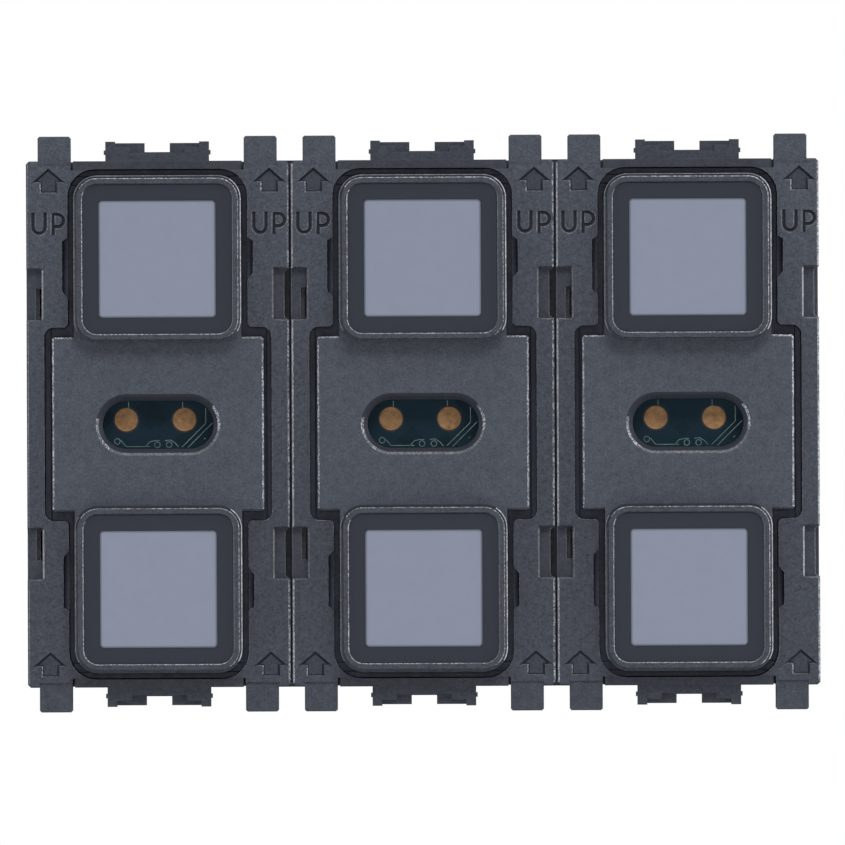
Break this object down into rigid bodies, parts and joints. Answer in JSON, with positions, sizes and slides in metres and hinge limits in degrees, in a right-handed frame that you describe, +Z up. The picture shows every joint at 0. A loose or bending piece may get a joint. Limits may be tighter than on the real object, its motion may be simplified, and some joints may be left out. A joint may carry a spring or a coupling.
{
  "type": "touch control panel",
  "caption": "Dark modular touch panel for a wall frame, with sprung slotted carriages, raised square pads with pale light windows, snap tabs, a rear housing and a bus terminal.",
  "frame": {"origin": "middle of the panel, on the plane where the tabs' backs rest on the wall frame", "axes": "+X to the right and +Z up as seen from the front, +Y away from the user, into the wall"},
  "size_m": [0.0672, 0.0307, 0.049],
  "materials": {
    "frame_plastic": "fine grained, anthracite",
    "carriage_plastic": "fine grained, anthracite",
    "mask_plastic": "smooth satin, near black",
    "window_plastic": "frosted pale blue-grey",
    "copper": "bare sheet",
    "board_green": "solder resist, dark green",
    "gold": "thin gold plating",
    "led_white": "cast lens",
    "chip_black": "moulded package",
    "socket_cream": "moulded",
    "cable_white": "flat film",
    "spring_steel": "rolled strip",
    "housing_plastic": "moulded, dark grey",
    "can_aluminium": "drawn can",
    "ferrite": "pressed ferrite",
    "pin_brass": "drawn square wire",
    "terminal_red": "moulded",
    "terminal_black": "moulded"
  },
  "bodies": {
    "panel": {"left_front_frame": "frame_plastic", "left_ribbon_cable": "cable_white", "left_return_springs": "spring_steel", "middle_front_frame": "frame_plastic", "middle_ribbon_cable": "cable_white", "middle_return_springs": "spring_steel", "right_front_frame": "frame_plastic", "right_ribbon_cable": "cable_white", "right_return_springs": "spring_steel", "carrier_plate": "housing_plastic", "main_board": "board_green", "board_sockets": "socket_cream", "controller_chip": "chip_black", "bus_chip": "chip_black", "buffer_capacitor": "can_aluminium", "bus_choke": "ferrite", "bus_pins": "pin_brass", "rear_housing": "housing_plastic", "positive_terminal": "terminal_red", "negative_terminal": "terminal_black"},
    "left_touch_unit": {"left_sensor_carriage": "carriage_plastic", "left_upper_mask": "mask_plastic", "left_lower_mask": "mask_plastic", "left_upper_diffuser": "window_plastic", "left_lower_diffuser": "window_plastic", "left_touch_electrodes": "copper", "left_sensor_board": "board_green", "left_contact_pads": "gold", "left_window_leds": "led_white", "left_touch_chip": "chip_black", "left_ribbon_socket": "socket_cream"},
    "middle_touch_unit": {"middle_sensor_carriage": "carriage_plastic", "middle_upper_mask": "mask_plastic", "middle_lower_mask": "mask_plastic", "middle_upper_diffuser": "window_plastic", "middle_lower_diffuser": "window_plastic", "middle_touch_electrodes": "copper", "middle_sensor_board": "board_green", "middle_contact_pads": "gold", "middle_window_leds": "led_white", "middle_touch_chip": "chip_black", "middle_ribbon_socket": "socket_cream"},
    "right_touch_unit": {"right_sensor_carriage": "carriage_plastic", "right_upper_mask": "mask_plastic", "right_lower_mask": "mask_plastic", "right_upper_diffuser": "window_plastic", "right_lower_diffuser": "window_plastic", "right_touch_electrodes": "copper", "right_sensor_board": "board_green", "right_contact_pads": "gold", "right_window_leds": "led_white", "right_touch_chip": "chip_black", "right_ribbon_socket": "socket_cream"}
  },
  "joints": [
    {"name": "left_unit_press", "type": "slide", "parent": "panel", "child": "left_touch_unit", "axis": [0, 1, 0], "range_m": [0, 0.001], "stiffness_N_per_m": 300, "springref_m": -0.0015, "deforming": ["left_return_springs", "left_ribbon_cable"]},
    {"name": "middle_unit_press", "type": "slide", "parent": "panel", "child": "middle_touch_unit", "axis": [0, 1, 0], "range_m": [0, 0.001], "stiffness_N_per_m": 300, "springref_m": -0.0015, "deforming": ["middle_return_springs", "middle_ribbon_cable"]},
    {"name": "right_unit_press", "type": "slide", "parent": "panel", "child": "right_touch_unit", "axis": [0, 1, 0], "range_m": [0, 0.001], "stiffness_N_per_m": 300, "springref_m": -0.0015, "deforming": ["right_return_springs", "right_ribbon_cable"]}
  ]
}
